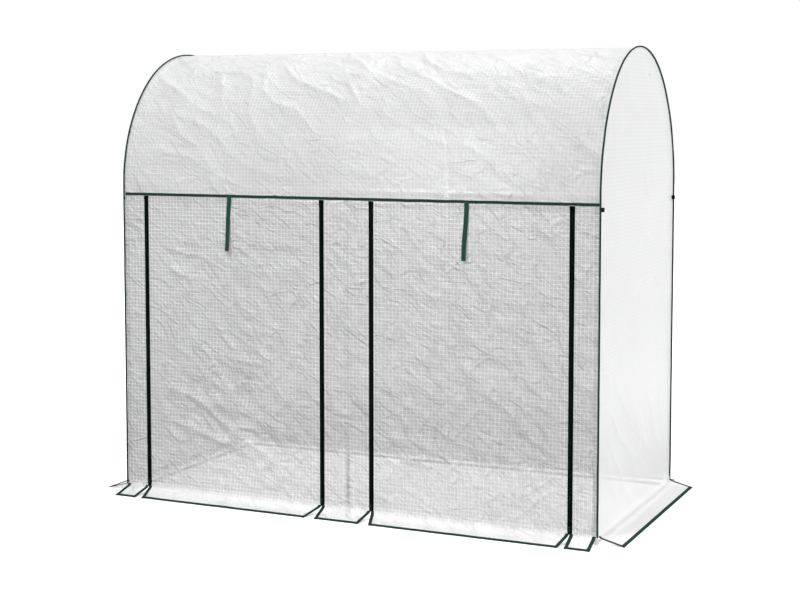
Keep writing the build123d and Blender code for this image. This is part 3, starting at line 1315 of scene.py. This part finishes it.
@dataclass(frozen=True)
class EaveBinding:
    """The tape sewn over the seam between the front wall and the roof."""

    reach: float = 0.9958
    section: Section = Section(0.0105, 0.0022)
    off: float = 0.001
    over_seam: float = 0.005
    wave: float = 0.0007
    waves: float = 14.0
    seed: tuple[float, float] = (1.0, 2.0)
    rows: int = 240

    def route(self, share: float, across: float, out: float) -> Vector:
        """Put a point of the tape on the seam.

        Args:
            share: The share of the way to the right.
            across: The offset over the width.
            out: The offset over the thickness.

        Returns:
            The place.
        """
        x = (2 * share - 1) * self.reach
        height = TUNNEL.seam + self.over_seam + across + self.wave * ripple(x, self.waves, *self.seed)
        return Vector((x, -TUNNEL.half_depth - self.off - out, height))

    def build(self) -> None:
        """Make and dress the binding."""
        tape = band_object("front_eave_tape", self.section, self.rows, 2 * self.reach, self.route)
        fit(tape, ROOT, BINDING, EAVE)


@dataclass(frozen=True)
class EndPiping:
    """The tape folded over the seam round an end panel, from the ground to the ground."""

    side: Side
    section: Section = Section(0.0068, 0.0058, 0.7)
    proud: float = 0.0015
    lift: float = 0.0032
    wave: float = 0.0006
    waves: float = 11.0
    seed: float = 8.0
    rows: int = 420

    @property
    def drop(self) -> float:
        """Give how far the piping starts below the seam."""
        return TUNNEL.seam - TUNNEL.zip_foot

    @property
    def length(self) -> float:
        """Give the piping's length."""
        return TUNNEL.arch_length + 2 * self.drop

    def route(self, share: float, across: float, out: float) -> Vector:
        """Put a point of the tape on the end's edge.

        Args:
            share: The share of the way from the front to the rear.
            across: The offset over the width.
            out: The offset over the thickness.

        Returns:
            The place.
        """
        sign, along = self.side.sign, share * self.length - self.drop
        reach = TUNNEL.half_width + self.proud + self.wave * ripple(along, self.waves, sign, self.seed)
        return Vector((sign * reach + across, *TUNNEL.arch(along, self.lift + out)))

    def build(self) -> None:
        """Make and dress the piping."""
        tape = band_object(f"{self.side.value}_end_tape", self.section, self.rows, self.length, self.route)
        fit(tape, ROOT, PIPING, f"{self.side.value}_end_piping")


# Zips


@dataclass(frozen=True)
class ZipHalf:
    """One half of a zip: a woven tape with a row of teeth beside the slit."""

    zip_x: float
    side: int
    slit: float = 0.00002
    tape: float = 0.0016
    tape_squareness: float = 0.35
    tape_steps: int = 12
    tape_rows: int = 150
    teeth_width: float = 0.0032
    tooth: Vector = Vector((0.0032, 0.0017, 0.002))
    tooth_width_share: float = 0.85
    tooth_height_share: float = 0.6
    pitch: float = 0.0028
    stop: float = 0.015
    stop_edge: float = 0.0005
    sunk: float = 0.0004
    tooth_sunk: float = 0.0001
    gap: float = 0.0008

    @property
    def face(self) -> float:
        """Give the place in y of the tape's front."""
        return TUNNEL.film - TUNNEL.half_depth - self.tape

    def add_tape(self, bm: bmesh.types.BMesh) -> None:
        """Add the tape and its end stop to a bmesh.

        Args:
            bm: The bmesh.
        """
        width = TUNNEL.zip_half - self.slit
        middle = self.zip_x + self.side * (self.slit + width / 2)
        top = TUNNEL.zip_top - self.gap
        length = top - TUNNEL.zip_foot

        def route(share: float, across: float, out: float) -> Vector:
            """Put a point of the tape beside the slit."""
            y, z = self.face + self.tape / 2 - out, TUNNEL.zip_foot + length * share
            return Vector((middle + across, y, z))

        section = Section(width, self.tape, self.tape_squareness, self.tape_steps)
        add_band(bm, section, self.tape_rows, length, route)
        near, far = (self.zip_x + self.side * place for place in (self.slit, TUNNEL.zip_half))
        low = Vector((near, self.face - self.teeth_width / 2, top - self.stop))
        add_block(bm, low, Vector((far, self.face + self.sunk, top)), self.stop_edge)

    def add_teeth(self, bm: bmesh.types.BMesh) -> None:
        """Add the row of teeth to a bmesh.

        Args:
            bm: The bmesh.
        """
        place = TUNNEL.zip_foot + self.pitch / 2 * (1 if self.side < 0 else 2)
        x = self.zip_x + self.side * (self.slit + self.teeth_width / 2)
        y = self.face - self.tooth.y / 2 + self.tooth_sunk
        while place < TUNNEL.zip_top - self.stop - self.pitch / 2:
            verts = bmesh.ops.create_cube(bm, size=1.0)["verts"]
            bmesh.ops.scale(bm, vec=self.tooth, verts=verts)
            for vert in verts:
                if vert.co.y < 0:
                    vert.co.z *= self.tooth_height_share
                    vert.co.x *= self.tooth_width_share
            bmesh.ops.translate(bm, vec=(x, y, place), verts=verts)
            place += self.pitch


def zip_pieces(name: str, node: str, body: str, halves: list[ZipHalf]) -> list[bpy.types.Object]:
    """Make and dress the zip halves that one panel carries.

    Args:
        name: The name that the pieces start with.
        node: The solids that they stand for.
        body: The body that they move with.
        halves: The halves.

    Returns:
        The tapes and the teeth.
    """
    tapes, teeth = bmesh.new(), bmesh.new()
    for half in halves:
        half.add_tape(tapes)
        half.add_teeth(teeth)
    pieces = [finish_mesh(f"{name}_tape", tapes), finish_mesh(f"{name}_teeth", teeth)]
    for face in pieces[1].data.polygons:
        face.use_smooth = False
    fit(pieces[0], body, ZIP_TAPE, node)
    fit(pieces[1], body, ZIP_TEETH)
    return pieces


@dataclass
class ZipSlider:
    """A zip's slider and its hanging pull tab."""

    name: str
    zip_x: float
    foot: float = 0.0345
    length: float = 0.022
    half_width: float = 0.006
    waist: float = 0.72
    front_plate: tuple[float, float] = (-0.5048, -0.5024)
    rear_plate: tuple[float, float] = (-0.4984, -0.4969)
    front_edge: float = 0.0007
    edge: float = 0.0005
    lug_x: tuple[float, float] = (0.0028, 0.0043)
    lug_y: tuple[float, float] = (-0.5098, -0.5045)
    lug_half: float = 0.0024
    pin_y: float = -0.5075
    pin_z: float = 0.0541
    pin_radius: float = 0.001
    pin_length: float = 0.006
    tab_half_width: float = 0.0025
    tab_half: float = 0.001
    tab_drop: tuple[float, float] = (0.024, 0.0018)
    eye_inner: float = 0.0013
    eye_outer: float = 0.0024
    eye_steps: int = 24
    same_heading: float = 0.99

    @property
    def pin(self) -> Vector:
        """Give the middle of the pin that the tab swings on."""
        return Vector((self.zip_x, self.pin_y, self.pin_z))

    def build(self) -> None:
        """Make and dress the slider and the tab."""
        body = bmesh.new()
        for (front, rear), edge in ((self.front_plate, self.front_edge), (self.rear_plate, self.edge)):
            low = Vector((self.zip_x - self.half_width, front, self.foot))
            high = Vector((self.zip_x + self.half_width, rear, self.foot + self.length))
            add_block(body, low, high, edge, self.waist)
        for sign in (-1, 1):
            near, far = (self.zip_x + sign * place for place in self.lug_x)
            low = Vector((near, self.lug_y[0], self.pin_z - self.lug_half))
            add_block(body, low, Vector((far, self.lug_y[1], self.pin_z + self.lug_half)), self.edge)
        add_bar(body, self.pin, self.pin_radius, self.pin_length)
        slider = f"{self.name}_slider"
        fit(finish_mesh(f"{slider}_body", body), slider, SLIDER_COAT, slider)

        tab = bmesh.new()
        low = self.pin - Vector((self.tab_half_width, self.tab_half, self.tab_drop[0]))
        high = self.pin + Vector((self.tab_half_width, self.tab_half, -self.tab_drop[1]))
        add_block(tab, low, high, self.edge)
        self.add_eye(tab)
        pull = f"{self.name}_pull_tab"
        fit(finish_mesh(f"{self.name}_tab", tab), pull, TAB_COAT, pull)

    def add_eye(self, bm: bmesh.types.BMesh) -> None:
        """Add the tab's eye, a sleeve round the pin, to a bmesh.

        Args:
            bm: The bmesh.
        """
        part = bmesh.new()
        inner, outer = self.eye_inner, self.eye_outer
        corners = [
            part.verts.new(self.pin + Vector((sign * self.tab_half_width, 0.0, reach)))
            for sign, reach in ((-1, inner), (1, inner), (1, outer), (-1, outer))
        ]
        face = part.faces.new(corners)
        bmesh.ops.spin(
            part, geom=[face, *face.edges, *face.verts], cent=self.pin, axis=(1, 0, 0), angle=2 * math.pi,
            steps=self.eye_steps, use_merge=True, use_duplicate=False,
        )
        bmesh.ops.remove_doubles(part, verts=part.verts, dist=MERGE_DISTANCE)
        drawn = [face for face in part.faces if self.is_drawn(face)]
        bmesh.ops.delete(part, geom=drawn, context="FACES_ONLY")
        bmesh.ops.recalc_face_normals(part, faces=part.faces)
        join(bm, part)

    def is_drawn(self, face: bmesh.types.BMFace) -> bool:
        """Tell whether a face is left over from the section that was spun."""
        off = abs(face.calc_center_median().y - self.pin_y)
        return abs(face.normal.y) > self.same_heading and off < MERGE_DISTANCE


# Moving pieces of the front


@dataclass
class Strap:
    """A webbing strap that hangs from the front eave binding."""

    name: str
    top_x: float
    lean: float
    bow: float
    sway: float
    top: float = 1.218
    length: float = 0.217
    section: Section = Section(0.018, 0.0015, 0.3, 20)
    rows: int = 60
    off: float = 0.5035
    curl: float = 0.005
    curl_power: float = 1.6
    cup: float = 0.0007
    cup_start: float = 0.15

    @property
    def middle(self) -> float:
        """Give the place of the strap's middle across the wall."""
        return self.top_x - self.lean / 2

    def route(self, share: float, across: float, out: float) -> Vector:
        """Put a point of the strap on its hanging curve.

        Args:
            share: The share of the way down.
            across: The offset over the width.
            out: The offset over the thickness.

        Returns:
            The place.
        """
        slide = self.lean * share + 4 * self.bow * share * (1 - share)
        slide -= self.sway * math.sin(2 * math.pi * share)
        cup = self.cup * (2 * across / self.section.width) ** 2 * smooth(share / self.cup_start)
        off = self.off + self.curl * share**self.curl_power - cup
        return Vector((self.top_x - slide + across, -off - out, self.top - self.length * share))

    def build(self) -> None:
        """Make and dress the strap."""
        body = f"{self.name}_strap"
        strap = band_object(f"{body}_webbing", self.section, self.rows, self.length, self.route)
        fit(strap, body, WEBBING, body)


@dataclass
class Door:
    """A roll-up door: its film, ground flap, hem and zip halves. It clears the eave rail and its strap."""

    name: str
    low_zip: float
    high_zip: float
    low_taper: float
    high_taper: float
    seed: float
    strap: Strap
    hold: float = 0.1
    overlap: float = 0.001
    keep: float = 0.1342
    fold: float = 0.05
    rail_zone: float = 1.04

    def build(self) -> None:
        """Make, dress and hang the door's pieces."""
        body = f"{self.name}_door"
        slit, seam = TUNNEL.flap_slit, TUNNEL.flap_length
        cut = FlapCut(self.low_zip + slit, self.high_zip - slit, self.low_taper, self.high_taper)
        low, high = self.low_zip + TUNNEL.zip_half, self.high_zip - TUNNEL.zip_half
        top = TUNNEL.along_at(TUNNEL.zip_top)
        crumple = Crumple(self.seed, fold=0.0125, crease=0.007, dent=0.0032, inward=0.006, foot=1.0)
        film = WallSheet(
            f"{body}_film", Side.FRONT, low, high, seam, top, crumple, hold=self.hold,
            rail=TUNNEL.along_at(self.rail_zone), strap=self.strap.middle,
        )
        flap = WallSheet(
            f"{body}_flap_film", Side.FRONT, low, high, TUNNEL.flap_start, seam + self.overlap, crumple, cut
        )
        sheet, skirt = film.build(), flap.build()
        hem = hem_object(f"{body}_hem_tape", [FlapHem(Side.FRONT, cut)])
        fit(sheet, body, FILM, body)
        fit(skirt, body, FILM, f"{body}_flap")
        fit(hem, body, HEM, f"{body}_hem")
        halves = [ZipHalf(self.low_zip, 1), ZipHalf(self.high_zip, -1)]
        zips = zip_pieces(f"{body}_zip", f"{body}_zips", body, halves)

        for piece in (sheet, *zips):
            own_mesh(piece)
        for piece in (skirt, hem):
            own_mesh(piece)
        film.flat
        flap.flat


# The fixed cover


@dataclass(frozen=True)
class FrontStrip:
    """A fixed strip of the front, beside one zip or between two."""

    name: str
    low: float
    high: float
    cut: FlapCut
    seed: float
    hold: float = 0.03

    def build(self) -> None:
        """Make and dress the strip."""
        crumple = Crumple(self.seed, slack=0.002, crease=0.007, dent=0.0034, inward=0.0)
        wall = WallSheet(
            f"{self.name}_strip_film", Side.FRONT, self.low, self.high, TUNNEL.flap_start,
            TUNNEL.along_at(TUNNEL.seam), crumple, self.cut, hold=self.hold,
        )
        sheet = wall.build()
        fit(sheet, ROOT, FILM, f"{self.name}_strip")
        wall.flat


@dataclass
class Cover:
    """All the film and tape that stays with the frame."""

    rear_step: float = 0.0085

    def build(self) -> None:
        """Make and dress the roof, the walls, the strips and their tapes."""
        self.build_roof()
        self.build_end(Side.LEFT, seed=61.0)
        self.build_end(Side.RIGHT, seed=77.0)
        self.build_rear()
        self.build_strips()
        EaveBinding().build()
        EndPiping(Side.LEFT).build()
        EndPiping(Side.RIGHT).build()

    def build_roof(self) -> None:
        """Make the roof."""
        roof = RoofSheet(Crumple(4.0, slack=0.005, fold=0.012, crease=0.0042, inward=0.001))
        sheet = roof.build()
        fit(sheet, ROOT, ROOF_FILM, "roof_sheet")
        roof.flat

    def build_end(self, side: Side, seed: float) -> None:
        """Make one end panel and its hem.

        Args:
            side: The end.
            seed: Its own place in the noise.
        """
        name = side.value
        reach = TUNNEL.half_depth - TUNNEL.corner_slit
        panel = EndSheet(
            f"{name}_end_film", side, Crumple(seed, fold=0.0025, crease=0.0006, dent=0.0, inward=0.0)
        )
        sheet = panel.build()
        fit(sheet, ROOT, END_FILM, f"{name}_end_panel")
        hem = hem_object(f"{name}_end_hem_tape", [FlapHem(side, FlapCut(-reach, reach))])
        fit(hem, ROOT, HEM, f"{name}_end_hem")
        panel.flat
        panel.area

    def build_rear(self) -> None:
        """Make the rear wall and its hem."""
        reach = TUNNEL.half_width - TUNNEL.corner_slit
        cut = FlapCut(-reach, reach)
        edge = TUNNEL.half_width - TUNNEL.film
        wall = WallSheet(
            "rear_wall_film", Side.REAR, -edge, edge, TUNNEL.flap_start, TUNNEL.along_at(TUNNEL.seam),
            Crumple(93.0, inward=0.0), cut, step=self.rear_step,
        )
        sheet = wall.build()
        fit(sheet, ROOT, FILM, "rear_wall")
        hem = hem_object("rear_hem_tape", [FlapHem(Side.REAR, cut)])
        fit(hem, ROOT, HEM, "rear_hem")
        wall.flat

    def build_strips(self) -> None:
        """Make the three fixed strips of the front, their hems and the zip halves on them."""
        edge, corner = TUNNEL.half_width - TUNNEL.film, TUNNEL.half_width - TUNNEL.corner_slit
        outer, inner = TUNNEL.outer_zip, TUNNEL.inner_zip
        half, slit = TUNNEL.zip_half, TUNNEL.flap_slit
        left_cut = FlapCut(-corner, -outer - slit, high_taper=0.003)
        middle_cut = FlapCut(-inner + slit, inner - slit, low_taper=0.013, high_taper=0.009)
        right_cut = FlapCut(outer + slit, corner, low_taper=0.009, high_taper=-0.006)
        strips = (
            FrontStrip("left", -edge, -outer - half, left_cut, seed=103.0),
            FrontStrip("middle", -inner + half, inner - half, middle_cut, seed=117.0),
            FrontStrip("right", outer + half, edge, right_cut, seed=131.0),
        )
        hems = hem_object("strip_hem_tapes", [FlapHem(Side.FRONT, strip.cut) for strip in strips])
        fit(hems, ROOT, HEM, "strip_hems")
        for strip in strips:
            strip.build()
        for name, low, high in (("left", -outer, -inner), ("right", inner, outer)):
            halves = [ZipHalf(low, -1), ZipHalf(high, 1)]
            zip_pieces(f"{name}_strip_zip", f"{name}_door_strip_zips", ROOT, halves)


@dataclass
class TubeFrame:
    """The tubes, connectors and plugs, which keep their solids."""

    base_words: tuple[str, str] = ("base", "foot")

    def dress(self) -> None:
        """Give every tube, connector and plug its finish."""
        for subpart in frame["record"]["subparts"]:
            name = subpart["node"]
            at_base = any(word in name for word in self.base_words)
            # Base pieces take the finishes with the stronger painted glow.
            white = (BASE_PAINTED_GLOW_TUBE_COAT, BASE_PAINTED_GLOW_CONNECTOR_SKIN) if at_base else (TUBE_COAT, CONNECTOR_SKIN)
            for finish in (*white, PLUG_SKIN):
                if subpart["material_slot"] == finish.slot:
                    finish.dress(frame["nodes"][name])
        LOG.info("tube frame")


# The studio


def aim(name: str, data: bpy.types.ID, place: Vector, target: Vector) -> bpy.types.Object:
    """Put a lamp or a camera into the scene.

    Args:
        name: Its name.
        data: The lamp or the camera.
        place: Where it stands.
        target: What it points at.

    Returns:
        The object.
    """
    made = bpy.data.objects.new(name, data)
    made.location = place
    made.rotation_mode = "QUATERNION"
    made.rotation_quaternion = (target - place).to_track_quat("-Z", "Y")
    bpy.context.scene.collection.objects.link(made)
    return made


@dataclass(frozen=True)
class Lamp:
    """A square soft lamp: where it hangs, what it points at, the length of its side and its power."""

    name: str
    place: Vector
    target: Vector
    size: float
    power: float

    def build(self) -> None:
        """Hang the lamp."""
        data = bpy.data.lights.new(self.name, "AREA")
        data.size = self.size
        data.energy = self.power
        aim(self.name, data, self.place, self.target).visible_camera = False


LAMPS = (
    Lamp("top_lamp", Vector((-0.4, 1.2, 4.6)), Vector((-0.2, 0.0, 1.5)), 2.0, 56.0),
    Lamp("right_lamp", Vector((4.6, 0.6, 3.2)), Vector((0.9, 0.0, 1.1)), 2.0, 136.0),
    Lamp("key_lamp", Vector((-0.5, -4.6, 5.6)), Vector((0.0, -0.5, 0.8)), 1.0, 282.0),
    Lamp("inner_lamp", Vector((0.0, 0.0, 1.5)), Vector((0.0, 0.0, 0.0)), 0.8, 10.0),
)


@dataclass
class Studio:
    """The pale floor, the light and the camera."""

    eye: Vector = Vector((2.6216, -5.7560, 1.5216))
    target: Vector = Vector((-0.0028, 0.0, 1.0397))
    lens: float = 69.88
    sensor: float = 36.0
    shift: float = -0.0791
    ambient: float = 0.375
    floor_size: float = 30.0
    floor_tone: float = 0.92
    floor_bounce: float = 0.6
    floor_roughness: float = 0.9
    floor_glow: float = 0.44
    floor_near: float = 1.3
    floor_far: float = 3.0

    def build(self) -> None:
        """Make the studio."""
        self.build_world()
        self.build_floor()
        for lamp in LAMPS:
            lamp.build()
        self.build_camera()
        bpy.context.scene.view_settings.view_transform = "Standard"

    def background_rays(self, nodes: Nodes) -> Socket:
        """Tell which rays see the background: those from the camera, from gloss and through clear pieces.

        Args:
            nodes: The nodes of the floor or the world.

        Returns:
            A value that is 1 for these rays.
        """
        path = nodes.add("LightPath").outputs
        seen = nodes.math("MAXIMUM", path["Is Camera Ray"], path["Is Glossy Ray"])
        return nodes.math("MAXIMUM", seen, path["Is Transmission Ray"])

    def build_world(self) -> None:
        """Make a white backdrop and an even light."""
        world = bpy.data.worlds.new("studio")
        bpy.context.scene.world = world
        world.use_nodes = True
        nodes = Nodes(world.node_tree)
        strength = nodes.ramp(self.background_rays(nodes), 0.0, 1.0, self.ambient, 1.0, eased=False)
        nodes.set(world.node_tree.nodes["Background"], Color=(1, 1, 1, 1), Strength=strength)

    def build_floor(self) -> None:
        """Make a wide pale floor that shows white and keeps the shadow."""
        bm = bmesh.new()
        bmesh.ops.create_grid(bm, x_segments=1, y_segments=1, size=self.floor_size)
        floor = finish_mesh("floor", bm)
        material, nodes, shader = new_material("pale_floor")
        seen = self.background_rays(nodes)
        place = nodes.add("TexCoord").outputs["Object"]
        reach = nodes.add("VectorMath", operation="LENGTH", Vector=place).outputs["Value"]
        glow = nodes.ramp(reach, self.floor_near, self.floor_far, self.floor_glow, 1.0)
        nodes.set(
            shader,
            Base_Color=nodes.blend(seen, (self.floor_bounce,) * 3, (self.floor_tone,) * 3),
            Roughness=self.floor_roughness,
            Specular_IOR_Level=0.0,
            Emission_Color=(1, 1, 1, 1),
            Emission_Strength=nodes.math("MULTIPLY", glow, seen),
        )
        floor.data.materials.append(material)

    def build_camera(self) -> None:
        """Make the camera."""
        data = bpy.data.cameras.new("camera")
        data.lens = self.lens
        data.sensor_width = self.sensor
        data.shift_y = self.shift
        bpy.context.scene.camera = aim("camera", data, self.eye, self.target)


def main() -> None:
    """Build the greenhouse's pieces in order."""
    logging.basicConfig(level=logging.INFO, format="%(name)s: %(message)s")
    Studio().build()
    TubeFrame().dress()
    Cover().build()
    outer, inner = TUNNEL.outer_zip, TUNNEL.inner_zip
    left_strap = Strap("left", top_x=-0.508, lean=0.0112, bow=0.0017, sway=-0.0007)
    right_strap = Strap("right", top_x=0.494, lean=0.0102, bow=0.0006, sway=0.0013)
    Door("left", -outer, -inner, low_taper=0.024, high_taper=0.027, seed=19.0, strap=left_strap).build()
    Door("right", inner, outer, low_taper=0.032, high_taper=0.013, seed=41.0, strap=right_strap).build()
    zips = {"left_outer": -outer, "left_inner": -inner, "right_inner": inner, "right_outer": outer}
    for name, x in zips.items():
        ZipSlider(name, x).build()
    left_strap.build()
    right_strap.build()


if __name__ == "__main__":
    main()
